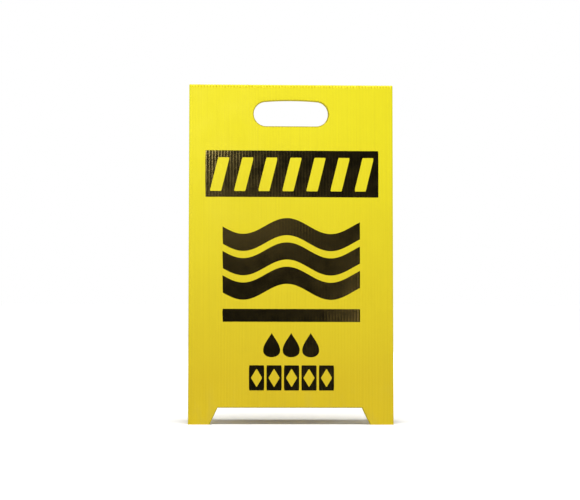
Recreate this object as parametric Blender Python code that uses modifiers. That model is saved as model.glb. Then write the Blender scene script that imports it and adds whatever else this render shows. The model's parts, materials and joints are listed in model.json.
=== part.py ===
"""Fold-up wet floor sign.

One blank of fluted (twin-wall) polypropylene board, creased twice across its middle. The creases
leave a narrow crushed strip, the spine, over which the two leaves hang as an A-frame. Each leaf has
a hand hole below the fold and a shallow notch that forms two feet. A short webbing stay, held by
hook-and-loop patches on the inner faces, stops the leaves from spreading.

Frame: X across the sign, +Z up, the front leaf faces -Y, the origin is on the floor midway between
the leaves. Metres.
"""
import math

import bmesh
import bpy
from mathutils import Vector

# Board and fold
WIDTH = 0.3048            # 12 in
BLANK_HALF = 0.508        # 20 in from the top of the fold to the foot, measured along the board
BOARD = 0.004             # board thickness
LINER = 0.00035           # each of the board's two skins
WEB = 0.0003              # ribs between the flutes
FLUTES = 68
LEAN = math.radians(5.0)  # each leaf from the vertical when the sign stands open
CLOSED_GAP = 0.001        # between the inner faces when the leaves hang parallel
SPINE_RISE = 0.005        # from a crease up to the top of the fold
SPINE_SKIN = 0.0012       # crushed board
SPINE_CORNER = 0.0034     # outer radius of the folded strip
GAP = 0.0003              # between pieces that touch

# Cut-outs, in the plane of a leaf
HOLE_HALF_WIDTH = 0.056
HOLE_RADIUS = 0.01865
HOLE_CROWN = 0.0025       # extra rise of the hand hole's upper edge
HOLE_DROP = 0.04415       # from the top of the fold to the hand hole's middle
NOTCH_HEIGHT = 0.02485
NOTCH_HALF_TOP = 0.1072
NOTCH_HALF_BOTTOM = 0.1192
NOTCH_OFFSET = -0.0014    # the die cuts a little off the middle

# Spread-limiting stay
STAY_HEIGHT = 0.150       # height of the taut span above the floor
STAY_WIDTH = 0.025
STAY_TAB = 0.030          # length of strap pressed against each leaf
STAY_BEND = 0.002         # radius of the strap's bends
STRAP = 0.0010
LOOP = 0.0007
HOOK = 0.0009
PATCH_MARGIN = 0.0015     # hook patch beyond the loop patch, all round

LEAF_LENGTH = BLANK_HALF - SPINE_RISE
PITCH = (WIDTH - WEB) / FLUTES
SPINE_DEPTH = 2 * BOARD + CLOSED_GAP
HINGE_Z = LEAF_LENGTH * math.cos(LEAN)
OVERSHOOT = 0.01          # how far a cutter runs past what it cuts

YELLOW = (0.80, 0.62, 0.02)
YELLOW_CREASED = (0.84, 0.68, 0.05)
BLACK = (0.02, 0.02, 0.02)
GREY = (0.12, 0.12, 0.12)


def clear_scene():
    for obj in list(bpy.data.objects):
        bpy.data.objects.remove(obj, do_unlink=True)


def new_collection(name):
    collection = bpy.data.collections.new(name)
    bpy.context.scene.collection.children.link(collection)
    return collection


def material(name, color, roughness):
    mat = bpy.data.materials.new(name)
    mat.use_nodes = True
    shader = mat.node_tree.nodes["Principled BSDF"]
    shader.inputs["Base Color"].default_value = (*color, 1.0)
    shader.inputs["Roughness"].default_value = roughness
    shader.inputs["Metallic"].default_value = 0.0
    return mat


def add_object(name, mesh, collection, mat=None, parent=None):
    obj = bpy.data.objects.new(name, mesh)
    collection.objects.link(obj)
    obj.parent = parent
    if mat:
        mesh.materials.append(mat)
    return obj


def box_mesh(name, low, high):
    """An axis-aligned box between two corners."""
    bm = bmesh.new()
    bmesh.ops.create_cube(bm, size=1.0)
    for vert in bm.verts:
        for axis in range(3):
            vert.co[axis] = low[axis] if vert.co[axis] < 0 else high[axis]
    mesh = bpy.data.meshes.new(name)
    bm.to_mesh(mesh)
    bm.free()
    return mesh


def slab_mesh(name, outline, low_y, high_y):
    """A closed outline of (x, z) points, given thickness along Y."""
    bm = bmesh.new()
    face = bm.faces.new([bm.verts.new((x, low_y, z)) for x, z in outline])
    extruded = bmesh.ops.extrude_face_region(bm, geom=[face])
    moved = [item for item in extruded["geom"] if isinstance(item, bmesh.types.BMVert)]
    bmesh.ops.translate(bm, verts=moved, vec=(0.0, high_y - low_y, 0.0))
    bmesh.ops.recalc_face_normals(bm, faces=bm.faces)
    mesh = bpy.data.meshes.new(name)
    bm.to_mesh(mesh)
    bm.free()
    return mesh


def ribbon_mesh(name, path, width):
    """An open surface: a path of (y, z) points swept across X. Solidify gives it thickness."""
    bm = bmesh.new()
    rows = [[bm.verts.new((x, y, z)) for x in (-width / 2, width / 2)] for y, z in path]
    for (a, b), (c, d) in zip(rows, rows[1:]):
        bm.faces.new((a, b, d, c))
    mesh = bpy.data.meshes.new(name)
    bm.to_mesh(mesh)
    bm.free()
    return mesh


def solidify(obj, thickness, offset):
    mod = obj.modifiers.new("Thickness", "SOLIDIFY")
    mod.thickness = thickness
    mod.offset = offset
    mod.use_even_offset = True


def cut(obj, cutter):
    mod = obj.modifiers.new("Cut " + cutter.name, "BOOLEAN")
    mod.operation = "DIFFERENCE"
    mod.solver = "EXACT"
    mod.object = cutter


def as_cutter(obj):
    obj.hide_render = True
    obj.display_type = "WIRE"
    return obj


def round_corners(corners, radius, steps=5):
    """Replace the inner corners of a (y, z) path with arcs of one radius."""
    path = [corners[0]]
    for before, corner, after in zip(corners, corners[1:], corners[2:]):
        corner = Vector(corner)
        to_before = (Vector(before) - corner).normalized()
        to_after = (Vector(after) - corner).normalized()
        half = to_before.angle(to_after) / 2
        centre = corner + (to_before + to_after).normalized() * radius / math.sin(half)
        first = corner + to_before * radius / math.tan(half) - centre
        last = corner + to_after * radius / math.tan(half) - centre
        path += [tuple(centre + radius * first.slerp(last, step / steps)) for step in range(steps + 1)]
    path.append(corners[-1])
    return path


def hand_hole_outline(steps=14):
    """A slot with round ends whose upper edge is slightly crowned."""
    straight = HOLE_HALF_WIDTH - HOLE_RADIUS
    middle_z = SPINE_RISE - HOLE_DROP
    points = []
    for end, middle_x in enumerate((straight, -straight)):
        for step in range(steps + 1):
            angle = math.pi * (end + step / steps - 0.5)
            x = middle_x + HOLE_RADIUS * math.cos(angle)
            z = HOLE_RADIUS * math.sin(angle)
            if z > 0:
                z *= 1 + HOLE_CROWN / HOLE_RADIUS * (1 - (x / HOLE_HALF_WIDTH) ** 2)
            points.append((x, middle_z + z))
    return points


def notch_outline():
    """A trapezoid, narrower at the top, run on past the foot along its own slants."""
    flare = (NOTCH_HALF_BOTTOM - NOTCH_HALF_TOP) / NOTCH_HEIGHT * (NOTCH_HEIGHT + OVERSHOOT)
    top = -LEAF_LENGTH + NOTCH_HEIGHT
    bottom = -LEAF_LENGTH - OVERSHOOT
    half_bottom = NOTCH_HALF_TOP + flare
    corners = ((-half_bottom, bottom), (half_bottom, bottom), (NOTCH_HALF_TOP, top), (-NOTCH_HALF_TOP, top))
    return [(NOTCH_OFFSET + x, z) for x, z in corners]


def make_leaf(name, side, mat, parts, cutters):
    """A leaf in its own frame: the origin is on the crease, at the outer face, and +Y points inward."""
    low = (-WIDTH / 2, 0.0, -LEAF_LENGTH - BOARD)
    high = (WIDTH / 2, BOARD, -GAP / 2)
    leaf = add_object(name, box_mesh(name, low, high), parts, mat)
    leaf.location = (0.0, side * SPINE_DEPTH / 2, HINGE_Z)
    leaf.rotation_euler = (-LEAN, 0.0, math.pi if side > 0 else 0.0)

    flute_low = (-WIDTH / 2 + WEB, LINER, -LEAF_LENGTH - OVERSHOOT)
    flute_high = (-WIDTH / 2 + PITCH, BOARD - LINER, OVERSHOOT)
    flutes = add_object(name + "_flutes", box_mesh("flute", flute_low, flute_high), cutters, parent=leaf)
    row = flutes.modifiers.new("Row", "ARRAY")
    row.count = FLUTES
    row.use_relative_offset = False
    row.use_constant_offset = True
    row.constant_offset_displace = (PITCH, 0.0, 0.0)
    row.merge_threshold = 0.0001

    past = (-OVERSHOOT, BOARD + OVERSHOOT)
    hole = add_object(name + "_hand_hole", slab_mesh("hand_hole", hand_hole_outline(), *past), cutters,
                      parent=leaf)
    notch = add_object(name + "_notch", slab_mesh("notch", notch_outline(), *past), cutters, parent=leaf)
    for cutter in (flutes, hole, notch):
        cut(leaf, as_cutter(cutter))
    return leaf


def level_feet(leaves, cutters):
    """Trim the feet level, so that the open sign stands on flat ends."""
    half = WIDTH
    mesh = box_mesh("floor", (-half, -half, -4 * OVERSHOOT), (half, half, 0.0))
    floor = as_cutter(add_object("floor_level", mesh, cutters))
    for leaf in leaves:
        cut(leaf, floor)


def make_spine(mat, parts):
    """The crushed strip between the two creases: an upside-down U across the whole width."""
    half = SPINE_DEPTH / 2
    foot = GAP / 2
    corners = [(-half, foot), (-half, SPINE_RISE), (half, SPINE_RISE), (half, foot)]
    path = [(y, HINGE_Z + z) for y, z in round_corners(corners, SPINE_CORNER)]
    spine = add_object("fold_spine", ribbon_mesh("fold_spine", path, WIDTH), parts, mat)
    solidify(spine, SPINE_SKIN, -1.0)
    return spine


def stay_drop():
    """How far down a leaf, from the crease, the strap leaves it."""
    return (HINGE_Z - STAY_HEIGHT) / math.cos(LEAN)


def make_patches(leaf, end, hook_mat, loop_mat, parts):
    """The hook patch stuck to a leaf's inner face and the loop patch sewn to the strap's tab."""
    bottom = -stay_drop() + STAY_BEND
    top = bottom + STAY_TAB
    hook_y = BOARD + GAP
    loop_y = hook_y + HOOK + GAP
    grow = PATCH_MARGIN
    hook_low = (-STAY_WIDTH / 2 - grow, hook_y, bottom - grow)
    hook_high = (STAY_WIDTH / 2 + grow, hook_y + HOOK, top + grow)
    name = end + "_hook_patch"
    add_object(name, box_mesh(name, hook_low, hook_high), parts, hook_mat, leaf)
    name = end + "_loop_patch"
    mesh = box_mesh(name, (-STAY_WIDTH / 2, loop_y, bottom), (STAY_WIDTH / 2, loop_y + LOOP, top))
    add_object(name, mesh, parts, loop_mat, leaf)


def make_strap(mat, parts):
    """Webbing strap: a tab up each leaf's inner face and a level span between them."""
    inward = BOARD + HOOK + LOOP + 3 * GAP + STRAP / 2
    drop = stay_drop()

    def on_leaf(along):
        """World (y, z) of a point on the front tab, by its distance down from the crease."""
        y = -SPINE_DEPTH / 2 - along * math.sin(LEAN) + inward * math.cos(LEAN)
        z = HINGE_Z - along * math.cos(LEAN) - inward * math.sin(LEAN)
        return y, z

    top, bend = on_leaf(drop - STAY_TAB - STAY_BEND), on_leaf(drop)
    corners = [top, bend, (-bend[0], bend[1]), (-top[0], top[1])]
    strap = add_object("stay_strap", ribbon_mesh("stay_strap", round_corners(corners, STAY_BEND), STAY_WIDTH),
                       parts, mat)
    solidify(strap, STRAP, 0.0)
    return strap


def main():
    clear_scene()
    parts = new_collection("Wet floor sign")
    cutters = new_collection("Cutters")
    board_mat = material("Fluted board", YELLOW, 0.4)
    crease_mat = material("Creased board", YELLOW_CREASED, 0.45)
    hook_mat = material("Hook tape", BLACK, 0.8)
    loop_mat = material("Loop tape", GREY, 0.9)
    strap_mat = material("Webbing", BLACK, 0.75)

    front = make_leaf("front_leaf", -1, board_mat, parts, cutters)
    rear = make_leaf("rear_leaf", 1, board_mat, parts, cutters)
    level_feet((front, rear), cutters)
    make_spine(crease_mat, parts)
    make_patches(front, "front", hook_mat, loop_mat, parts)
    make_patches(rear, "rear", hook_mat, loop_mat, parts)
    make_strap(strap_mat, parts)


main()
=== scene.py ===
"""Looks of the fold-up wet floor sign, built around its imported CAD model.

Each leaf's pieces are made in the leaf's own frame: the origin is on its crease, at the outer face, X runs
across the sign, +Y points inward and +Z up the leaf. The rear leaf is the front one turned half round.
Metres throughout.
"""

import json
import math

import bmesh
import bpy
import numpy as np
from mathutils import Matrix, Vector, noise


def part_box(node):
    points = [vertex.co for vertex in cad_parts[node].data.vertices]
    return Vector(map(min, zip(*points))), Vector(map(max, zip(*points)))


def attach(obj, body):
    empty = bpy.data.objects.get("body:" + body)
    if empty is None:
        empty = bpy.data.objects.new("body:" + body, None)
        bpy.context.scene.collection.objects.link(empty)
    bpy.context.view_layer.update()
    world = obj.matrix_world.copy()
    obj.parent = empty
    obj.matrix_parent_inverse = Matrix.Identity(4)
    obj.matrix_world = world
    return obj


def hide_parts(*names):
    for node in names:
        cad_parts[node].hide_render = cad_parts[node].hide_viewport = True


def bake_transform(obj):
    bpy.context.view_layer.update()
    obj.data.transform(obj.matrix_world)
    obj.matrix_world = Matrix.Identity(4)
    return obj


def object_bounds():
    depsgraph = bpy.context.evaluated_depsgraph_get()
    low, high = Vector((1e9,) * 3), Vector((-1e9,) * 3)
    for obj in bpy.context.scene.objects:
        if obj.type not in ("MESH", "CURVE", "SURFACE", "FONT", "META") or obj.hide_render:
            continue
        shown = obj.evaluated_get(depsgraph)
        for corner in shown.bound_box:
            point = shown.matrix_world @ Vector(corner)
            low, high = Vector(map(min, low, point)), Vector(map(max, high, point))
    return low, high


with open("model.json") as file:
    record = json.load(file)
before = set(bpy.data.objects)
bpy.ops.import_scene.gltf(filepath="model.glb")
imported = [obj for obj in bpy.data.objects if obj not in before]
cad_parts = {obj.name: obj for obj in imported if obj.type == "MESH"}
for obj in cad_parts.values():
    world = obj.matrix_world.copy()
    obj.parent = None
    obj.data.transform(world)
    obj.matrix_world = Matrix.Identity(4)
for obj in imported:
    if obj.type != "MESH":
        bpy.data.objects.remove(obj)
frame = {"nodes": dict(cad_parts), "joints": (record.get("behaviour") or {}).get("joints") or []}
cad_low, cad_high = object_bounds()

# ---- Dimensions read from the frame ----


def crease(joint_name):
    joint = next(j for j in frame["joints"] if j["name"] == joint_name)
    return Vector(joint["pos_m"])


FRONT_CREASE = crease("front_crease")
REAR_CREASE = crease("rear_crease")
LEAF_LOW, LEAF_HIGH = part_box("front_leaf")
WIDTH = LEAF_HIGH.x - LEAF_LOW.x
LEAN = math.atan2(FRONT_CREASE.y - LEAF_LOW.y, FRONT_CREASE.z)
LEAF_LENGTH = FRONT_CREASE.z / math.cos(LEAN)
FOLD_RISE = cad_high.z - FRONT_CREASE.z
FOLD_HALF = REAR_CREASE.y

LEAN_BACK = Matrix.Rotation(-LEAN, 4, "X")
LEAF_FRAMES = {
    "front": Matrix.Translation(FRONT_CREASE) @ LEAN_BACK,
    "rear": Matrix.Translation(REAR_CREASE) @ Matrix.Rotation(math.pi, 4, "Z") @ LEAN_BACK,
}


def box_in_leaf(node, end):
    """Lowest and highest corner of a CAD node, in the frame of the front or rear leaf."""
    to_leaf = LEAF_FRAMES[end].inverted()
    corners = np.array([to_leaf @ vert.co for vert in frame["nodes"][node].data.vertices])
    return Vector(corners.min(axis=0)), Vector(corners.max(axis=0))


# ---- Board and fold ----
BOARD = 0.004
LINER = 0.00035
WEB = 0.0003
FLUTES = 68
PITCH = (WIDTH - WEB) / FLUTES
STEPS_PER_FLUTE = 6       # skin facets between two webs
SAG = 0.00005             # how far a liner sinks between two webs
SIDE_CRUSH = 0.00028      # how far the die pinches the board's side edges
SIDE_CRUSH_WIDTH = 0.0014
PINCHED = 0.0026          # width of the darkened strip along a side edge
CREASE_CRUSH = 0.66       # share of the board's thickness lost at the crease
CREASE_CRUSH_LENGTH = 0.009
WARP = 0.00035            # how far a leaf waves in and out
WARP_SCALE = Vector((7.0, 0.0, 5.0))
WARP_FADE = 0.12          # distance from the crease over which the warp grows
STATION_STEP = 0.028
FOLD_SKIN = 0.0012
FOLD_CORNER = 0.0034
FOLD_DENT = 0.0009        # depth of the valley over each web, where the crushed strip is drawn in
DENT_AT_CREASE = 0.35     # shares of that depth along the strip; it is full where the shoulder starts
DENT_ABOVE_CREASE = 0.8
DENT_ON_SHOULDER = 0.45
DENT_ON_TOP = 0.4
FOLD_UNEVEN = 0.45        # how much one valley differs in depth from the next
FOLD_THINNEST = 0.0004    # strip left under the deepest valley
LIP = 0.0015              # rounded lip that the die leaves around cut-outs
LIP_DEPTH = 0.0003

# ---- Cut-outs ----
HOLE_HALF_WIDTH = 0.056
HOLE_RADIUS = 0.01865
HOLE_CROWN = 0.0015       # rise of the upper edge at its middle
HOLE_MIDDLE = -0.03915
NOTCH_HEIGHT = 0.02485
NOTCH_HALF_TOP = 0.1072
NOTCH_HALF_BOTTOM = 0.1192
NOTCH_OFFSET = -0.0014
OVERSHOOT = 0.01

# ---- Print, in the plane of a leaf ----
INK_PROUD = 0.00004
INK_SUNK = 0.00006
INK_CORNER = 0.0012
HEADER_TOP = -0.0945
HEADER_BOTTOM = -0.1644
HEADER_HALF = 0.1294
HEADER_OFFSET = 0.0014
HAZARD_BARS = 7
HAZARD_SPAN = 0.2454
HAZARD_TOP = -0.1050
HAZARD_BOTTOM = -0.1555
HAZARD_BAR = 0.0170
HAZARD_SLANT = 0.0125
WAVES = 3
WAVE_LEFT = -0.102
WAVE_RIGHT = 0.103
WAVE_TOP = -0.2076
WAVE_PITCH = 0.03635
WAVE_BAND = 0.0257
WAVE_AMPLITUDE = 0.0119
WAVE_PERIOD = 0.1306
WAVE_CREST = -0.006
BAR_TOP = -0.3315
BAR_BOTTOM = -0.3507
DROPS = 3
DROPS_LEFT = -0.0432
DROPS_RIGHT = 0.0439
DROPS_TOP = -0.3669
DROPS_BOTTOM = -0.4033
DROP_TAPER = 1.5          # higher gives a longer point
TILES = 5
TILES_LEFT = -0.0623
TILES_RIGHT = 0.0641
TILES_TOP = -0.4152
TILES_BOTTOM = -0.4525
TILE_GAP = 0.0034
TILE_DIAMOND = 0.74       # diamond cut from each tile, as a share of the tile

# ---- Stay ----
STRAP = 0.0010
STRAP_RIBS = 12
STRAP_PICK = 0.0017       # length of one grain of the weave
STRAP_ROW = STRAP_PICK / 4
STRAP_RELIEF = 0.00012    # depth of the grooves between grains
SELVEDGE_THINNING = 0.45
GRAIN_FLATNESS = 0.6      # 1 gives grains like a sine wave, less gives flatter ones
STRAP_SAG = 0.0009        # dip at the middle of the span
STRAP_BEND = 0.002
CLEARANCE = 0.0003        # between pieces that touch in the CAD model
STITCH = 0.0024           # length of one stitch
STITCH_GAP = 0.0007
STITCH_RADIUS = 0.00024
STITCH_MARGIN = 0.0032    # from the edge of a tab to its row of stitches
TAPE_BACKING = 0.00042
TAPE_CORNER = 0.0022
HOOK_PITCH = 0.00152
HOOK_RADIUS = 0.00013
LOOP_STEP = 0.0006        # grid of the loop tape's napped face
LOOP_NAP = 0.00022
LOOP_NAP_SCALE = 1400.0

# ---- Colours, linear ----
LEMON = (0.745, 0.668, 0.006)       # board near the fold, before painted shade darkens it towards the feet
GOLDEN = (0.605, 0.450, 0.007)      # board near the feet, darkened as painted shade
CREASED = (0.88, 0.775, 0.030)      # die-cut edge, darkened as painted shade on the cut walls
CUT_SHADED = (0.36, 0.29, 0.006)           # die-cut edge
GRIME = (0.42, 0.33, 0.08)
CLOUD_TINT = (0.975, 0.965, 0.90)
STREAK_TINT = (0.95, 0.94, 0.88)
WEB_TINT = (0.90, 0.87, 0.75)
PINCH_TINT = (0.90, 0.96, 0.10)
# painted shade for the valleys over the webs of the crushed strip
VALLEY_SHADE_TINT = (0.78, 0.74, 0.35)
INK = (0.0018, 0.0016, 0.0014)
INK_THIN = (0.018, 0.014, 0.002)    # ink that lets the yellow through
BOARD_SHEEN = (1.0, 0.92, 0.43, 1.0)
INK_SHEEN = (1.0, 0.77, 0.26, 1.0)
BLACK_NYLON = (0.012, 0.012, 0.013)
GREY_NYLON = (0.035, 0.035, 0.037)
WEBBING = (0.016, 0.016, 0.018)
THREAD = (0.060, 0.060, 0.065)
FLOOR = (0.975, 0.975, 0.975)
FLOOR_SHADE = (0.9604, 0.9604, 0.9604)

# ---- Finishes ----
PLASTIC_IOR = 1.49
INK_IOR = 1.5
BOARD_ROUGHNESS = 0.42
CREASE_ROUGHNESS = 0.46
FALLOFF_TOP = -0.06           # painted shade darkens the board between these heights on a leaf
FALLOFF_BOTTOM = -0.44
WEB_REACH = 0.13          # half width of the line over a web, as a share of the pitch
VALLEY_REACH = 0.24
SCUFF_HEIGHT = 0.07       # above the feet

# ---- View and light ----
CAMERA = Vector((-0.145, -3.438, 0.2762))
CAMERA_YAW = math.radians(2.408)
CAMERA_PITCH = math.radians(-0.297)
CAMERA_ROLL = math.radians(0.24)
CAMERA_LENS = 142.3
FLOOR_HALF = 6.0
WHITE = (1.0, 1.0, 1.0)
WARM = (1.0, 0.9, 0.72)
SUN_POWER = 3.4
SUN_DISC = math.radians(40.0)
SUN_TILT = math.radians(8.0)        # from straight overhead towards the camera
SOFT_BOXES = (
    # name, place, target, size, power, colour
    ("top_soft", (-0.10, -0.50, 0.98), (0.0, 0.0, 0.50), (0.70, 0.25), 1.4, WHITE),
    ("upper_left", (-0.30, -1.90, 0.945), (-0.1, 0.0, 0.4), (0.22, 0.22), 7.5, WHITE),
    ("middle_glow", (-0.02, -1.90, 0.64), (0.0, 0.0, 0.3), (0.26, 0.06), 0.19, WARM),
    ("low_right", (0.43, -1.90, 0.42), (0.0, 0.0, 0.2), (0.12, 0.14), 1.8, WARM),
    ("rear_right", (0.80, 1.90, 0.50), (0.0, 0.0, 0.3), (1.0, 0.8), 7.5, WHITE),
    ("rear_left", (-1.10, 1.70, 0.60), (0.0, 0.0, 0.3), (0.8, 0.8), 5.5, WHITE),
)
SOFT_SURROUND = 0.05      # strength of the white surround as light
SEEN_SURROUND = 1.0       # and as the camera sees it


# ---- Meshes ----


def smoothstep(share):
    share = min(max(share, 0.0), 1.0)
    return share * share * (3.0 - 2.0 * share)


def new_object(name, mesh, materials):
    obj = bpy.data.objects.new(name, mesh)
    bpy.context.scene.collection.objects.link(obj)
    for mat in materials:
        mesh.materials.append(mat)
    return obj


def plain_mesh(bm, name):
    """A mesh with outward normals. The bmesh is used up."""
    bmesh.ops.recalc_face_normals(bm, faces=bm.faces)
    mesh = bpy.data.meshes.new(name)
    bm.to_mesh(mesh)
    bm.free()
    return mesh


def finish_mesh(bm, name, sharp_angle=35.0):
    """A mesh shaded smooth but for its real edges."""
    mesh = plain_mesh(bm, name)
    mesh.shade_smooth()
    mesh.set_sharp_from_angle(angle=math.radians(sharp_angle))
    return mesh


def place_in_leaf(obj, end):
    """Put an object that was made in a leaf's frame on that leaf."""
    obj.matrix_world = LEAF_FRAMES[end]
    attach(obj, end + "_leaf")


def apply_modifiers(obj):
    graph = bpy.context.evaluated_depsgraph_get()
    mesh = bpy.data.meshes.new_from_object(obj.evaluated_get(graph))
    obj.modifiers.clear()
    obj.data = mesh


def skin_columns():
    """(x, share of the full sag) at each bend of the skin: both faces of every web and steps between."""
    columns = []
    for flute in range(FLUTES):
        left = -WIDTH / 2 + flute * PITCH
        columns.append((left, 0.0))
        for step in range(STEPS_PER_FLUTE):
            share = step / STEPS_PER_FLUTE
            columns.append((left + WEB + (PITCH - WEB) * share, math.sin(math.pi * share) ** 2))
    return columns + [(WIDTH / 2 - WEB, 0.0), (WIDTH / 2, 0.0)]


COLUMNS = skin_columns()
COLUMN_X = [x for x, share in COLUMNS]
COLUMN_SAG = [share for x, share in COLUMNS]
COLUMNS_PER_FLUTE = STEPS_PER_FLUTE + 1
CRUSH_STATIONS = [-CREASE_CRUSH_LENGTH * step / 5 for step in range(1, 6)]
WARP_STATIONS = [-STATION_STEP * step for step in range(1, int(LEAF_LENGTH / STATION_STEP) + 1)]
STATIONS = sorted(CRUSH_STATIONS + WARP_STATIONS)


def warp_at(x, z, seed):
    """Slow waves in a board that has been folded and stored. They die out at the crease."""
    place = Vector((x * WARP_SCALE.x, seed, z * WARP_SCALE.z))
    return WARP * smoothstep(-z / WARP_FADE) * noise.noise(place)


def warp(x, z, seed):
    """The warp, straight between stations, so that print and board bend alike."""
    levels = [-LEAF_LENGTH - BOARD] + STATIONS + [0.0]
    upper = next(index for index, level in enumerate(levels) if level >= z or index == len(levels) - 1)
    upper = max(upper, 1)
    low, high = levels[upper - 1], levels[upper]
    share = (z - low) / (high - low)
    return (1 - share) * warp_at(x, low, seed) + share * warp_at(x, high, seed)


def side_crush(x):
    from_edge = WIDTH / 2 - abs(x)
    return SIDE_CRUSH * max(0.0, 1 - from_edge / SIDE_CRUSH_WIDTH) ** 2


def rib_sag(x):
    return SAG * float(np.interp(x, COLUMN_X, COLUMN_SAG))


def cut_across(bm, places, axis):
    """Split every face along planes square to an axis."""
    normal = Vector((0.0, 0.0, 0.0))
    normal[axis] = 1.0
    for place in places:
        geometry = bm.verts[:] + bm.edges[:] + bm.faces[:]
        bmesh.ops.bisect_plane(bm, geom=geometry, dist=1e-7, plane_co=normal * place, plane_no=normal)


def add_loft(bm, rings):
    """A closed solid through rings of points, capped at both ends."""
    loops = [[bm.verts.new(point) for point in ring] for ring in rings]
    for lower, upper in zip(loops, loops[1:]):
        for index in range(len(lower)):
            after = (index + 1) % len(lower)
            bm.faces.new((lower[index], lower[after], upper[after], upper[index]))
    bm.faces.new(loops[0])
    bm.faces.new(loops[-1])


def add_slab_faces(bm, grid, last_row, last_column):
    """Close a slab whose two skins are grids of vertices, grid[row, column, skin].

    Returns the edge faces along its first and last rows.
    """
    for row in range(last_row):
        for column in range(last_column):
            for skin in (0, 1):
                bm.faces.new([grid[row + i, column + j, skin] for i, j in ((0, 0), (1, 0), (1, 1), (0, 1))])
    for row in range(last_row):
        for column in (0, last_column):
            bm.faces.new([grid[row + i, column, skin] for i, skin in ((0, 0), (1, 0), (1, 1), (0, 1))])
    end_faces = []
    for column in range(last_column):
        for row in (0, last_row):
            corners = [grid[row, column + j, skin] for j, skin in ((0, 0), (1, 0), (1, 1), (0, 1))]
            end_faces.append(bm.faces.new(corners))
    return end_faces


# ---- Cut-outs in a leaf ----


def hole_outline(grow, steps=16):
    """The hand hole: a slot with round ends and a slightly crowned upper edge, grown by a margin."""
    radius = HOLE_RADIUS + grow
    straight = HOLE_HALF_WIDTH - HOLE_RADIUS
    ends = []
    for end, middle_x in enumerate((straight, -straight)):
        for step in range(steps + 1):
            angle = math.pi * (end + step / steps - 0.5)
            ends.append((middle_x + radius * math.cos(angle), HOLE_MIDDLE + radius * math.sin(angle)))
    upper = []
    for step in range(1, steps):
        share = 1 - 2 * step / steps
        upper.append((straight * share, HOLE_MIDDLE + radius + HOLE_CROWN * (1 - share ** 2)))
    return ends[:steps + 1] + upper + ends[steps + 1:]


def notch_outline(grow):
    """The notch between the feet: a trapezoid, grown by a margin and run on past the foot."""
    slope = (NOTCH_HALF_BOTTOM - NOTCH_HALF_TOP) / NOTCH_HEIGHT
    sideways = grow * math.hypot(1.0, slope)
    top = -LEAF_LENGTH + NOTCH_HEIGHT + grow
    bottom = -LEAF_LENGTH - OVERSHOOT
    half_top = NOTCH_HALF_TOP + sideways - slope * grow
    half_bottom = NOTCH_HALF_BOTTOM + sideways + slope * OVERSHOOT
    corners = ((-half_bottom, bottom), (half_bottom, bottom), (half_top, top), (-half_top, top))
    return [(NOTCH_OFFSET + x, z) for x, z in corners]


def lipped_cutter(name, outline, mat):
    """A cutter that flares at both faces of the board, so that it leaves a rounded lip."""
    profile = (
        (-OVERSHOOT, LIP),
        (0.0, LIP),
        (LIP_DEPTH / 3, LIP / 3),
        (LIP_DEPTH, 0.0),
        (BOARD - LIP_DEPTH, 0.0),
        (BOARD - LIP_DEPTH / 3, LIP / 3),
        (BOARD, LIP),
        (BOARD + OVERSHOOT, LIP),
    )
    bm = bmesh.new()
    add_loft(bm, [[(x, y, z) for x, z in outline(grow)] for y, grow in profile])
    return new_object(name, plain_mesh(bm, name), [mat])


def board_section(bm):
    """The board's section at the crease: two liners and the webs between them, as flat faces."""
    rows = []
    for x, share in COLUMNS:
        sag = SAG * share
        crush = side_crush(x)
        rows.append((
            bm.verts.new((x, sag + crush, 0.0)),
            bm.verts.new((x, LINER, 0.0)) if share == 0.0 else None,
            bm.verts.new((x, BOARD - LINER, 0.0)) if share == 0.0 else None,
            bm.verts.new((x, BOARD - sag - crush, 0.0)),
        ))
    for flute in range(FLUTES + 1):
        left = flute * COLUMNS_PER_FLUTE
        web, after_web = rows[left], rows[left + 1]
        bm.faces.new((web[0], after_web[0], after_web[1], web[1]))
        bm.faces.new((web[1], after_web[1], after_web[2], web[2]))
        bm.faces.new((web[2], after_web[2], after_web[3], web[3]))
        if flute == FLUTES:
            break
        span = rows[left + 1:left + 1 + COLUMNS_PER_FLUTE]
        bm.faces.new([row[0] for row in span] + [span[-1][1], span[0][1]])
        bm.faces.new([row[3] for row in span] + [span[-1][2], span[0][2]])


def board_mesh(name):
    """The fluted board, from the crease to level feet."""
    bm = bmesh.new()
    board_section(bm)
    extruded = bmesh.ops.extrude_face_region(bm, geom=bm.faces[:])
    for item in extruded["geom"]:
        if isinstance(item, bmesh.types.BMVert):
            item.co.z = -LEAF_LENGTH + item.co.y * math.tan(LEAN)
    return plain_mesh(bm, name)


def mark_cut_faces(bm):
    """Give the cut material to the feet's ends. The Boolean gives it to the cut-outs."""
    for face in bm.faces:
        at_foot = face.calc_center_median().z < -LEAF_LENGTH + BOARD
        if at_foot and face.normal.z < -0.9:
            face.material_index = 1


def make_board(end, seed, board_mat, cut_mat):
    name = end + "_board"
    board = new_object(name, board_mesh(name), [board_mat, cut_mat])
    cutters = [
        lipped_cutter(end + "_hole_cutter", hole_outline, cut_mat),
        lipped_cutter(end + "_notch_cutter", notch_outline, cut_mat),
    ]
    for cutter in cutters:
        mod = board.modifiers.new(cutter.name, "BOOLEAN")
        mod.operation = "DIFFERENCE"
        mod.solver = "EXACT"
        mod.material_mode = "TRANSFER"
        mod.object = cutter
    apply_modifiers(board)
    for cutter in cutters:
        bpy.data.objects.remove(cutter)

    bm = bmesh.new()
    bm.from_mesh(board.data)
    mark_cut_faces(bm)
    cut_across(bm, STATIONS, axis=2)
    for vert in bm.verts:
        x, y, z = vert.co
        crush = CREASE_CRUSH * smoothstep(1 + z / CREASE_CRUSH_LENGTH)
        vert.co.y = y * (1 - crush) + warp(x, z, seed)
    materials = list(board.data.materials)
    mesh = finish_mesh(bm, name)
    for mat in materials:
        mesh.materials.append(mat)
    board.data = mesh
    place_in_leaf(board, end)
    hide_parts(end + "_leaf")


# ---- Print ----


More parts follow.
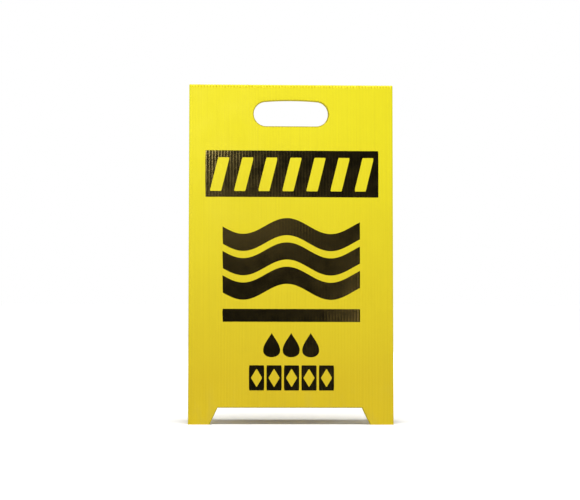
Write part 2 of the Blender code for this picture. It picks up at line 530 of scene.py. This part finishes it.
def corner_arc(before, corner, after, radius, steps):
    """Points of the arc that rounds one corner of a flat outline."""
    corner = Vector(corner)
    to_before = (Vector(before) - corner).normalized()
    to_after = (Vector(after) - corner).normalized()
    half = to_before.angle(to_after) / 2
    centre = corner + (to_before + to_after).normalized() * radius / math.sin(half)
    first = corner + to_before * radius / math.tan(half) - centre
    last = corner + to_after * radius / math.tan(half) - centre
    return [tuple(centre + radius * first.slerp(last, step / steps)) for step in range(steps + 1)]


def rounded(corners, radius, steps=4):
    """A closed outline of (x, z) points with its corners turned into arcs."""
    points = []
    for index, corner in enumerate(corners):
        after = corners[(index + 1) % len(corners)]
        points += corner_arc(corners[index - 1], corner, after, radius, steps)
    return points


def rectangle(left, right, bottom, top):
    return [(left, bottom), (right, bottom), (right, top), (left, top)]


def header_outlines():
    """A band with slanted hazard bars left clear in it."""
    band = rectangle(HEADER_OFFSET - HEADER_HALF, HEADER_OFFSET + HEADER_HALF, HEADER_BOTTOM, HEADER_TOP)
    outlines = [rounded(band, INK_CORNER)]
    step = (HAZARD_SPAN - HAZARD_BAR - HAZARD_SLANT) / (HAZARD_BARS - 1)
    for bar in range(HAZARD_BARS):
        left = HEADER_OFFSET - HAZARD_SPAN / 2 + bar * step
        corners = [
            (left, HAZARD_BOTTOM),
            (left + HAZARD_BAR, HAZARD_BOTTOM),
            (left + HAZARD_BAR + HAZARD_SLANT, HAZARD_TOP),
            (left + HAZARD_SLANT, HAZARD_TOP),
        ]
        outlines.append(rounded(corners, INK_CORNER))
    return outlines


def wave_outlines(number, steps=56):
    top = WAVE_TOP - number * WAVE_PITCH

    def edge(x):
        return top + WAVE_AMPLITUDE * math.cos(2 * math.pi * (x - WAVE_CREST) / WAVE_PERIOD)

    xs = [WAVE_LEFT + (WAVE_RIGHT - WAVE_LEFT) * step / steps for step in range(steps + 1)]
    return [[(x, edge(x)) for x in xs] + [(x, edge(x) - WAVE_BAND) for x in reversed(xs)]]


def drop_outlines(number, steps=32):
    """A water drop with its point up."""
    pitch = (DROPS_RIGHT - DROPS_LEFT) / DROPS
    middle = DROPS_LEFT + pitch * (number + 0.5)
    half = (DROPS_TOP - DROPS_BOTTOM) / 2
    angles = [2 * math.pi * step / steps for step in range(steps)]
    widths = [half * math.sin(angle) * math.sin(angle / 2) ** DROP_TAPER for angle in angles]
    heights = [half * (1 + math.cos(angle)) for angle in angles]
    return [[(middle + width, DROPS_BOTTOM + height) for width, height in zip(widths, heights)]]


def tile_outlines(number):
    """A floor tile with a diamond left clear in it."""
    pitch = (TILES_RIGHT - TILES_LEFT + TILE_GAP) / TILES
    left = TILES_LEFT + number * pitch
    right = left + pitch - TILE_GAP
    middle = Vector(((left + right) / 2, (TILES_TOP + TILES_BOTTOM) / 2))
    half_x = (right - left) / 2 * TILE_DIAMOND
    half_z = (TILES_TOP - TILES_BOTTOM) / 2 * TILE_DIAMOND
    diamond = [
        (middle.x, middle.y - half_z),
        (middle.x + half_x, middle.y),
        (middle.x, middle.y + half_z),
        (middle.x - half_x, middle.y),
    ]
    tile = rectangle(left, right, TILES_BOTTOM, TILES_TOP)
    return [rounded(tile, INK_CORNER), rounded(diamond, INK_CORNER / 2)]


def flat_film(outlines):
    """A flat mesh within a closed outline, split where the skin bends. Outlines after the first are holes."""
    bm = bmesh.new()
    inner = bm.edges.layers.int.new("inner")
    for outline in outlines:
        verts = [bm.verts.new((x, 0.0, z)) for x, z in outline]
        for first, second in zip(verts, verts[1:] + verts[:1]):
            bm.edges.new((first, second))
    bmesh.ops.triangle_fill(bm, edges=bm.edges[:], use_beauty=False, normal=(0.0, -1.0, 0.0))
    for edge in bm.edges:
        edge[inner] = int(len(edge.link_faces) == 2)
    xs = [x for x, z in outlines[0]]
    zs = [z for x, z in outlines[0]]
    cut_across(bm, [x for x in COLUMN_X if min(xs) < x < max(xs)], axis=0)
    cut_across(bm, [z for z in STATIONS if min(zs) < z < max(zs)], axis=2)
    bmesh.ops.dissolve_edges(bm, edges=[edge for edge in bm.edges if edge[inner]], use_verts=True)
    return bm


def ink_mesh(name, film, seed):
    """A thin closed film that lies on the outer skin and follows its ribs."""
    bm = film.copy()
    extruded = bmesh.ops.extrude_face_region(bm, geom=bm.faces[:])
    under = {item for item in extruded["geom"] if isinstance(item, bmesh.types.BMVert)}
    for vert in bm.verts:
        x, _, z = vert.co
        depth = INK_SUNK if vert in under else -INK_PROUD
        vert.co.y = rib_sag(x) + warp(x, z, seed) + depth
    return finish_mesh(bm, name, sharp_angle=50.0)


def print_list():
    """Every printed mark: its name and its outlines."""
    marks = [("header", header_outlines())]
    marks += [(f"wave_{number + 1}", wave_outlines(number)) for number in range(WAVES)]
    marks += [("bar", [rounded(rectangle(WAVE_LEFT, WAVE_RIGHT, BAR_BOTTOM, BAR_TOP), INK_CORNER / 2)])]
    marks += [(f"drop_{number + 1}", drop_outlines(number)) for number in range(DROPS)]
    marks += [(f"tile_{number + 1}", tile_outlines(number)) for number in range(TILES)]
    return marks


def make_print(end, seed, films, mat):
    for mark, film in films.items():
        name = f"{end}_ink_{mark}"
        place_in_leaf(new_object(name, ink_mesh(name, film, seed), [mat]), end)


# ---- Fold ----


def fold_path(steps=6):
    """(y, z, dent share) from the front crease up over the shoulder to the middle of the fold's top."""
    path = [(-FOLD_HALF, 0.0, DENT_AT_CREASE), (-FOLD_HALF, (FOLD_RISE - FOLD_CORNER) / 2, DENT_ABOVE_CREASE)]
    centre_y = -FOLD_HALF + FOLD_CORNER
    centre_z = FOLD_RISE - FOLD_CORNER
    for step in range(steps + 1):
        angle = math.pi / 2 * step / steps
        y = centre_y - FOLD_CORNER * math.cos(angle)
        z = centre_z + FOLD_CORNER * math.sin(angle)
        path.append((y, z, 1.0 - (1.0 - DENT_ON_SHOULDER) * step / steps))
    return path + [(0.0, FOLD_RISE, DENT_ON_TOP)]


def fold_rows(path):
    """Inward direction at each point of the path."""
    rows = []
    for index, (y, z, dent) in enumerate(path):
        before = path[max(index - 1, 0)]
        after = path[min(index + 1, len(path) - 1)]
        along = Vector((after[0] - before[0], after[1] - before[1])).normalized()
        if index == 0:
            along = Vector((0.0, 1.0))
        if index == len(path) - 1:
            along = Vector((1.0, 0.0))
        rows.append((y, z, dent, along.y, -along.x))
    return rows


def fold_mesh(name, side):
    """Half of the crushed strip: a ribbed skin from one crease to the middle of the top."""
    bm = bmesh.new()
    rows = fold_rows(fold_path())
    grid = {}
    for column, (x, share) in enumerate(COLUMNS):
        flute = column // COLUMNS_PER_FLUTE
        uneven = 1.0 + FOLD_UNEVEN * noise.noise(Vector((flute * 1.7, side * 3.0, 0.5)))
        for row, (y, z, dent, in_y, in_z) in enumerate(rows):
            depth = FOLD_DENT * dent * (1 - share) ** 2 * uneven + side_crush(x)
            for skin, extra in enumerate((0.0, FOLD_SKIN)):
                inward = depth + extra if skin == 0 else max(depth + FOLD_THINNEST, extra)
                place = ((y + in_y * inward) * -side, z + in_z * inward)
                grid[column, row, skin] = bm.verts.new((x, place[0], FRONT_CREASE.z + place[1]))
    for face in add_slab_faces(bm, grid, len(COLUMNS) - 1, len(rows) - 1):
        face.material_index = 1
    return finish_mesh(bm, name, sharp_angle=50.0)


def make_fold(end, crease_mat, cut_mat):
    side = -1 if end == "front" else 1
    name = end + "_fold"
    fold = new_object(name, fold_mesh(name, side), [crease_mat, cut_mat])
    if end == "front":
        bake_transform(fold)
    else:
        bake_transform(fold)
    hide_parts("fold_spine")


# ---- Stay ----


def resample(points, step):
    """Points at an even spacing of about one step along a (y, z) path."""
    lengths = [0.0]
    for first, second in zip(points, points[1:]):
        lengths.append(lengths[-1] + (Vector(second) - Vector(first)).length)
    count = round(lengths[-1] / step)
    places = [lengths[-1] * index / count for index in range(count + 1)]
    ys = np.interp(places, lengths, [point[0] for point in points])
    zs = np.interp(places, lengths, [point[1] for point in points])
    return list(zip(ys.tolist(), zs.tolist()))


def strap_corner():
    """(y, z) of the front end of the strap's level span, before its bend is rounded."""
    span_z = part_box("stay_strap")[0].z + STRAP / 2
    inward = box_in_leaf("front_loop_patch", "front")[1].y + CLEARANCE + STRAP / 2
    down = (span_z - FRONT_CREASE.z + inward * math.sin(LEAN)) / math.cos(LEAN)
    corner = LEAF_FRAMES["front"] @ Vector((0.0, inward, down))
    return corner.y, corner.z


def strap_path():
    """(y, z) down the front tab, round its bend and along the span to the middle."""
    loop_high = box_in_leaf("front_loop_patch", "front")[1]
    top = LEAF_FRAMES["front"] @ Vector((0.0, loop_high.y + CLEARANCE + STRAP / 2, loop_high.z))
    corner_y, corner_z = strap_corner()
    ends = ((top.y, top.z), (0.0, corner_z))
    path = [ends[0]] + corner_arc(ends[0], (corner_y, corner_z), ends[1], STRAP_BEND, steps=10) + [ends[1]]
    sagged = []
    for y, z in resample(path, STRAP_ROW):
        share = min(1.0, y / (corner_y + STRAP_BEND))
        sagged.append((y, z - STRAP_SAG * (1 - share ** 2) if z < corner_z + STRAP_BEND / 4 else z))
    return sagged


def weave(across, along):
    """Height of a plain weave: 0 in a groove, 1 on a grain. Neighbouring ribs are half a grain apart."""
    rib = across * STRAP_RIBS
    grain = along / STRAP_PICK + 0.5 * (int(rib) % 2)
    return abs(math.sin(math.pi * rib) * math.sin(math.pi * grain)) ** GRAIN_FLATNESS


def strap_mesh(name, end):
    """Half of the strap: a woven band, thinner at its two selvedges."""
    path = strap_path()
    low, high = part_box("stay_strap")
    width = high.x - low.x
    columns = STRAP_RIBS * 4
    turn = Matrix.Rotation(0.0 if end == "front" else math.pi, 3, "Z")
    bm = bmesh.new()
    grid = {}
    for row, (y, z) in enumerate(path):
        before = Vector(path[max(row - 1, 0)])
        after = Vector(path[min(row + 1, len(path) - 1)])
        along = (after - before).normalized()
        if row == len(path) - 1:
            along = Vector((1.0, 0.0))
        for column in range(columns + 1):
            across = column / columns
            selvedge = 1 - SELVEDGE_THINNING * max(0.0, 1 - min(across, 1 - across) * STRAP_RIBS) ** 2
            half = STRAP / 2 * selvedge - STRAP_RELIEF * (1 - weave(across, row * STRAP_ROW))
            for skin, sign in enumerate((-1, 1)):
                place = Vector((low.x + width * across, y + sign * half * along.y, z - sign * half * along.x))
                grid[row, column, skin] = bm.verts.new(turn @ place)
    add_slab_faces(bm, grid, len(path) - 1, columns)
    return finish_mesh(bm, name, sharp_angle=60.0)


def make_strap(end, mat):
    """Half of the strap. The two halves meet at the middle of the span, under the fold."""
    name = end + "_strap_half"
    strap = new_object(name, strap_mesh(name, end), [mat])
    if end == "front":
        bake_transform(strap)
    else:
        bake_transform(strap)
    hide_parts("stay_strap")


def stitch_rows(low, high):
    """Ends of the straight rows of stitches on a tab: a box with a cross in it."""
    left, right = low.x + STITCH_MARGIN, high.x - STITCH_MARGIN
    bottom, top = low.z + STITCH_MARGIN, high.z - STITCH_MARGIN
    corners = [(left, bottom), (right, bottom), (right, top), (left, top)]
    sides = list(zip(corners, corners[1:] + corners[:1]))
    return sides + [(corners[0], corners[2]), (corners[1], corners[3])]


def make_stitching(end, mat):
    """Thread that holds a tab of the strap to its loop tape, drawn down into the webbing."""
    low, high = box_in_leaf(end + "_loop_patch", end)
    surface_y = high.y + CLEARANCE + STRAP - STRAP_RELIEF / 2
    bm = bmesh.new()
    for first, last in stitch_rows(low, high):
        first, last = Vector(first), Vector(last)
        count = round((last - first).length / (STITCH + STITCH_GAP))
        heading = math.atan2(last.y - first.y, last.x - first.x)
        for index in range(count):
            place = first.lerp(last, (index + 0.5) / count)
            shape = Matrix.Diagonal((STITCH / 2, STITCH_RADIUS, STITCH_RADIUS, 1.0))
            turn = Matrix.Rotation(-heading, 4, "Y")
            spot = Matrix.Translation((place.x, surface_y, place.y))
            bmesh.ops.create_uvsphere(bm, u_segments=8, v_segments=6, radius=1.0, matrix=spot @ turn @ shape)
    name = end + "_stitching"
    place_in_leaf(new_object(name, finish_mesh(bm, name), [mat]), end)


def hook_curve(sway):
    """(sideways, out, radius) up one hook: a stem that bends over at its tip."""
    return (
        (0.0, 0.0, 1.3),
        (0.0, 0.45, 1.0),
        (0.25 * sway, 0.85, 0.9),
        (0.75 * sway, 0.95, 0.8),
        (0.95 * sway, 0.6, 0.5),
    )


def add_hook(bm, x, y, z, height, sway, sides=5):
    """One moulded hook, standing inward (+Y) from the backing."""
    rings = []
    for sideways, out, radius in hook_curve(sway):
        centre = Vector((x + sideways * height, y + out * height, z))
        ring = []
        for side in range(sides):
            angle = 2 * math.pi * side / sides
            ring.append(centre + Vector((math.cos(angle), 0.0, math.sin(angle))) * HOOK_RADIUS * radius)
        rings.append(ring)
    add_loft(bm, rings)


def backing(bm, low, high, low_y, high_y):
    """A thin tape with round corners and a slightly narrower outer face."""
    bevel = TAPE_BACKING / 4
    outline = rounded(rectangle(low.x, high.x, low.z, high.z), TAPE_CORNER)
    inset = rectangle(low.x + bevel, high.x - bevel, low.z + bevel, high.z - bevel)
    inner = rounded(inset, TAPE_CORNER - bevel)
    rings = [(low_y, outline), (high_y - bevel, outline), (high_y, inner)]
    add_loft(bm, [[(x, y, z) for x, z in points] for y, points in rings])


def make_hook_patch(end, mat):
    node = end + "_hook_patch"
    low, high = box_in_leaf(node, end)
    bm = bmesh.new()
    backing(bm, low, high, low.y - CLEARANCE, low.y + TAPE_BACKING)
    columns = int((high.x - low.x) / HOOK_PITCH) - 1
    rows = int((high.z - low.z) / HOOK_PITCH) - 1
    height = high.y - low.y - TAPE_BACKING
    for column in range(columns):
        for row in range(rows):
            x = (low.x + high.x) / 2 + (column - (columns - 1) / 2) * HOOK_PITCH
            z = (low.z + high.z) / 2 + (row - (rows - 1) / 2) * HOOK_PITCH
            add_hook(bm, x, low.y + TAPE_BACKING, z, height, 1 if row % 2 else -1)
    name = end + "_hook_tape"
    tape = new_object(name, finish_mesh(bm, name, sharp_angle=60.0), [mat])
    place_in_leaf(tape, end)
    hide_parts(node)


def make_loop_patch(end, mat):
    """Loop tape: a napped face towards the hooks, flat where it is sewn to the strap."""
    node = end + "_loop_patch"
    low, high = box_in_leaf(node, end)
    columns = round((high.x - low.x) / LOOP_STEP)
    rows = round((high.z - low.z) / LOOP_STEP)
    bm = bmesh.new()
    grid = {}
    for row in range(rows + 1):
        for column in range(columns + 1):
            x = low.x + (high.x - low.x) * column / columns
            z = low.z + (high.z - low.z) * row / rows
            edge = min(x - low.x, high.x - x, z - low.z, high.z - z)
            nap = LOOP_NAP * noise.noise(Vector((x, 3.0, z)) * LOOP_NAP_SCALE)
            rim = LOOP_NAP * max(0.0, 1 - edge / LOOP_STEP)
            grid[row, column, 0] = bm.verts.new((x, low.y + LOOP_NAP / 2 + nap + rim, z))
            grid[row, column, 1] = bm.verts.new((x, high.y + CLEARANCE / 2, z))
    add_slab_faces(bm, grid, rows, columns)
    name = end + "_loop_tape"
    tape = new_object(name, finish_mesh(bm, name, sharp_angle=60.0), [mat])
    place_in_leaf(tape, end)
    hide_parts(node)


# ---- Materials ----


class Surface:
    """A material and short ways to add the nodes that it needs."""

    def __init__(self, name, **sockets):
        self.material = bpy.data.materials.new(name)
        self.material.use_nodes = True
        self.tree = self.material.node_tree
        self.shader = self.tree.nodes["Principled BSDF"]
        for socket, value in sockets.items():
            self.shader.inputs[socket.replace("_", " ")].default_value = value
        self.place = self.tree.nodes.new("ShaderNodeTexCoord").outputs["Object"]

    def node(self, kind, inputs=None, **settings):
        made = self.tree.nodes.new(kind)
        for key, value in settings.items():
            setattr(made, key, value)
        for key, value in (inputs or {}).items():
            if isinstance(value, bpy.types.NodeSocket):
                self.tree.links.new(value, made.inputs[key])
            else:
                made.inputs[key].default_value = value
        return made

    def stretched(self, scale):
        return self.node("ShaderNodeMapping", {"Vector": self.place, "Scale": scale}).outputs["Vector"]

    def noise(self, scale, detail=3.0, place=None):
        inputs = {"Vector": place or self.place, "Scale": scale, "Detail": detail}
        return self.node("ShaderNodeTexNoise", inputs).outputs["Fac"]

    def remap(self, value, low, high, new_low=0.0, new_high=1.0):
        inputs = {"Value": value, "From Min": low, "From Max": high, "To Min": new_low, "To Max": new_high}
        return self.node("ShaderNodeMapRange", inputs).outputs["Result"]

    def math(self, operation, first, second=0.0):
        return self.node("ShaderNodeMath", {0: first, 1: second}, operation=operation).outputs["Value"]

    def axis(self, name):
        return self.node("ShaderNodeSeparateXYZ", {"Vector": self.place}).outputs[name]

    def blend_color(self, share, first, second, blend="MIX"):
        made = self.node("ShaderNodeMix", data_type="RGBA", blend_type=blend)
        for socket, value in ((0, share), (6, first), (7, second)):
            if isinstance(value, bpy.types.NodeSocket):
                self.tree.links.new(value, made.inputs[socket])
            else:
                made.inputs[socket].default_value = value if socket == 0 else (*value, 1.0)
        return made.outputs[2]

    def bump(self, height, distance, strength=1.0, normal=None):
        inputs = {"Height": height, "Distance": distance, "Strength": strength}
        if normal:
            inputs["Normal"] = normal
        return self.node("ShaderNodeBump", inputs).outputs["Normal"]

    def connect(self, socket, value):
        self.tree.links.new(value, self.shader.inputs[socket])


def web_lines(surface, reach=WEB_REACH):
    """1 over a web of the board, falling to 0 at a share of the pitch away."""
    across = surface.math("DIVIDE", surface.math("ADD", surface.axis("X"), (WIDTH - WEB) / 2), PITCH)
    from_web = surface.math("PINGPONG", across, 0.5)
    return surface.remap(from_web, reach, 0.0)


def painted_falloff(surface):
    """Painted shade: lemon at the fold, darkening to golden at the feet as less light reaches low down."""
    share = surface.remap(surface.axis("Z"), FALLOFF_TOP, FALLOFF_BOTTOM)
    return surface.blend_color(share, LEMON, GOLDEN)


def tinted(surface, color, tint, share):
    """The colour multiplied by a tint, as far as the share says."""
    return surface.blend_color(share, color, tint, "MULTIPLY")


def pinched_edges(surface):
    """1 along the side edges, which the die has pressed and darkened."""
    from_middle = surface.math("ABSOLUTE", surface.axis("X"))
    return surface.remap(from_middle, WIDTH / 2 - PINCHED, WIDTH / 2 - PINCHED / 3)


def extruded_finish(surface, base, roughness):
    """Shared look of the extruded board: cloudy dye, streaks along the flutes, lines over the webs."""
    cloudy = surface.remap(surface.noise(9.0, 4.0), 0.35, 0.65)
    base = tinted(surface, base, CLOUD_TINT, cloudy)
    streaks = surface.noise(1.0, 4.0, surface.stretched((420.0, 60.0, 5.0)))
    base = tinted(surface, base, STREAK_TINT, surface.remap(streaks, 0.35, 0.75))
    webs = web_lines(surface)
    base = tinted(surface, base, WEB_TINT, surface.math("MULTIPLY", webs, 0.30))
    base = tinted(surface, base, PINCH_TINT, pinched_edges(surface))
    grain = surface.bump(surface.noise(850.0, 2.0), 0.00003, 0.6)
    surface.connect("Normal", surface.bump(streaks, 0.00005, 0.6, grain))
    rough = surface.remap(surface.noise(24.0, 5.0), 0.3, 0.7, roughness - 0.05, roughness + 0.06)
    return base, rough


def board_material():
    """Extruded polypropylene: satin, scuffed low down."""
    surface = Surface("fluted_board", IOR=PLASTIC_IOR, Specular_Tint=BOARD_SHEEN)
    # The base colour holds painted shade, darker and more golden towards the feet.
    base, rough = extruded_finish(surface, painted_falloff(surface), BOARD_ROUGHNESS)
    scuffs = surface.noise(55.0, 6.0, surface.stretched((1.0, 1.0, 0.35)))
    low_down = surface.remap(surface.axis("Z"), -LEAF_LENGTH + SCUFF_HEIGHT, -LEAF_LENGTH)
    dirt = surface.math("MULTIPLY", surface.remap(scuffs, 0.52, 0.75), low_down)
    base = surface.blend_color(surface.math("MULTIPLY", dirt, 0.30), base, GRIME)
    surface.connect("Base Color", base)
    surface.connect("Roughness", surface.math("ADD", rough, surface.math("MULTIPLY", dirt, 0.15)))
    return surface.material


def crease_material():
    """Crushed board: a little paler where folding has stressed it, above all at its corners."""
    surface = Surface("creased_board", IOR=PLASTIC_IOR, Specular_Tint=BOARD_SHEEN)
    stress = surface.noise(300.0, 4.0, surface.stretched((1.0, 1.0, 0.4)))
    pale = surface.blend_color(surface.remap(stress, 0.35, 0.7), LEMON, CREASED)
    base, rough = extruded_finish(surface, pale, CREASE_ROUGHNESS)
    # Painted shade: darker over each web, in the valleys where the crushed strip is drawn in.
    base = tinted(surface, base, VALLEY_SHADE_TINT, web_lines(surface, VALLEY_REACH))
    surface.connect("Base Color", base)
    surface.connect("Roughness", rough)
    return surface.material


def cut_material():
    """Die-cut edges: crushed, a little rough and deeper in colour, darkened further with painted shade."""
    surface = Surface("cut_edge", IOR=PLASTIC_IOR, Specular_Tint=BOARD_SHEEN)
    ragged = surface.noise(700.0, 4.0)
    surface.connect("Base Color", surface.blend_color(surface.remap(ragged, 0.45, 1.0), CUT_SHADED, GOLDEN))
    surface.connect("Roughness", surface.remap(ragged, 0.3, 0.7, 0.45, 0.65))
    surface.connect("Normal", surface.bump(ragged, 0.0001, 0.7))
    return surface.material


def ink_material():
    """Screen-print ink: semi-gloss and thinner over the webs, where the yellow warms it."""
    surface = Surface("screen_ink", IOR=INK_IOR, Specular_Tint=INK_SHEEN)
    webs = web_lines(surface)
    cover = surface.remap(surface.noise(160.0, 5.0), 0.40, 0.80)
    thin = surface.math("MULTIPLY", cover, surface.remap(webs, 0.0, 1.0, 0.2, 0.9))
    surface.connect("Base Color", surface.blend_color(thin, INK, INK_THIN))
    surface.connect("Roughness", surface.remap(surface.noise(60.0, 4.0), 0.3, 0.7, 0.11, 0.18))
    surface.connect("Normal", surface.bump(surface.noise(900.0, 3.0), 0.00003, 0.6))
    return surface.material


def webbing_material():
    """Woven black polypropylene: glossy filaments that run along each grain."""
    surface = Surface("webbing", Sheen_Weight=0.25, Sheen_Roughness=0.4)
    filaments = surface.noise(1.0, 2.0, surface.stretched((5200.0, 900.0, 900.0)))
    worn = surface.remap(surface.noise(120.0, 4.0), 0.35, 0.7)
    base = surface.blend_color(surface.math("MULTIPLY", worn, filaments), WEBBING, GREY_NYLON)
    surface.connect("Base Color", base)
    surface.connect("Roughness", surface.remap(filaments, 0.3, 0.7, 0.45, 0.70))
    surface.connect("Normal", surface.bump(filaments, 0.00006, 0.8))
    return surface.material


def nylon_material(name, color, worn_color, scale, roughness):
    """Hook, loop or thread nylon, mottled with lint and wear."""
    surface = Surface(name, Sheen_Weight=0.15, Sheen_Roughness=0.5)
    fibres = surface.noise(scale, 5.0)
    surface.connect("Base Color", surface.blend_color(surface.remap(fibres, 0.4, 0.75), color, worn_color))
    surface.connect("Roughness", surface.remap(fibres, 0.3, 0.7, roughness - 0.1, roughness + 0.1))
    surface.connect("Normal", surface.bump(fibres, 0.00008, 0.8))
    return surface.material


def floor_material():
    surface = Surface("studio_floor", Roughness=0.85)
    shade = surface.remap(surface.noise(3.0, 4.0), 0.3, 0.7)
    surface.connect("Base Color", surface.blend_color(shade, FLOOR, FLOOR_SHADE))
    return surface.material


# ---- Studio ----


def make_floor():
    bm = bmesh.new()
    bmesh.ops.create_grid(bm, x_segments=8, y_segments=8, size=FLOOR_HALF)
    mesh = bpy.data.meshes.new("studio_floor")
    bm.to_mesh(mesh)
    bm.free()
    floor = new_object("studio_floor", mesh, [floor_material()])


def make_camera():
    data = bpy.data.cameras.new("camera")
    data.sensor_width = 36.0
    data.lens = CAMERA_LENS
    data.clip_start = 0.05
    camera = bpy.data.objects.new("camera", data)
    bpy.context.scene.collection.objects.link(camera)
    turn = Matrix.Rotation(-CAMERA_YAW, 4, "Z") @ Matrix.Rotation(math.pi / 2 + CAMERA_PITCH, 4, "X")
    camera.matrix_world = Matrix.Translation(CAMERA) @ turn @ Matrix.Rotation(CAMERA_ROLL, 4, "Z")
    bpy.context.scene.camera = camera


def area_light(name, place, target, size, power, color):
    """A soft box that lights the sign but does not show in the picture itself."""
    data = bpy.data.lights.new(name, "AREA")
    data.shape = "RECTANGLE"
    data.size, data.size_y = size
    data.energy = power
    data.color = color
    light = bpy.data.objects.new(name, data)
    light.visible_camera = False
    bpy.context.scene.collection.objects.link(light)
    light.location = place
    light.rotation_euler = (Vector(target) - Vector(place)).to_track_quat("-Z", "Y").to_euler()


def make_lights():
    """Soft boxes placed so that their reflections fall on the ink where the photo shows them, and a sun."""
    for soft_box in SOFT_BOXES:
        area_light(*soft_box)
    sun = bpy.data.lights.new("overhead", "SUN")
    sun.energy = SUN_POWER
    sun.angle = SUN_DISC
    overhead = bpy.data.objects.new("overhead", sun)
    overhead.rotation_euler.x = SUN_TILT
    bpy.context.scene.collection.objects.link(overhead)


def make_world():
    """A plain white surround that gives the object soft, weaker light than it shows the camera."""
    world = bpy.data.worlds.new("studio")
    bpy.context.scene.world = world
    world.use_nodes = True
    tree = world.node_tree
    soft = tree.nodes["Background"]
    seen = tree.nodes.new("ShaderNodeBackground")
    for background, strength in ((soft, SOFT_SURROUND), (seen, SEEN_SURROUND)):
        background.inputs["Color"].default_value = (*WHITE, 1.0)
        background.inputs["Strength"].default_value = strength
    ray = tree.nodes.new("ShaderNodeLightPath")
    mix = tree.nodes.new("ShaderNodeMixShader")
    tree.links.new(ray.outputs["Is Camera Ray"], mix.inputs[0])
    tree.links.new(soft.outputs[0], mix.inputs[1])
    tree.links.new(seen.outputs[0], mix.inputs[2])
    tree.links.new(mix.outputs[0], tree.nodes["World Output"].inputs["Surface"])
    bpy.context.scene.view_settings.view_transform = "Standard"


def main():
    make_camera()
    make_world()
    make_lights()
    make_floor()
    board_mat = board_material()
    crease_mat = crease_material()
    cut_mat = cut_material()
    ink_mat = ink_material()
    strap_mat = webbing_material()
    hook_mat = nylon_material("hook_tape", BLACK_NYLON, GREY_NYLON, 500.0, 0.45)
    loop_mat = nylon_material("loop_tape", BLACK_NYLON, GREY_NYLON, 1500.0, 0.80)
    thread_mat = nylon_material("thread", THREAD, GREY_NYLON, 2500.0, 0.60)
    films = {mark: flat_film(outlines) for mark, outlines in print_list()}
    for seed, end in enumerate(LEAF_FRAMES):
        make_board(end, seed, board_mat, cut_mat)
        make_print(end, seed, films, ink_mat)
        make_fold(end, crease_mat, cut_mat)
        make_strap(end, strap_mat)
        make_stitching(end, thread_mat)
        make_hook_patch(end, hook_mat)
        make_loop_patch(end, loop_mat)


main()
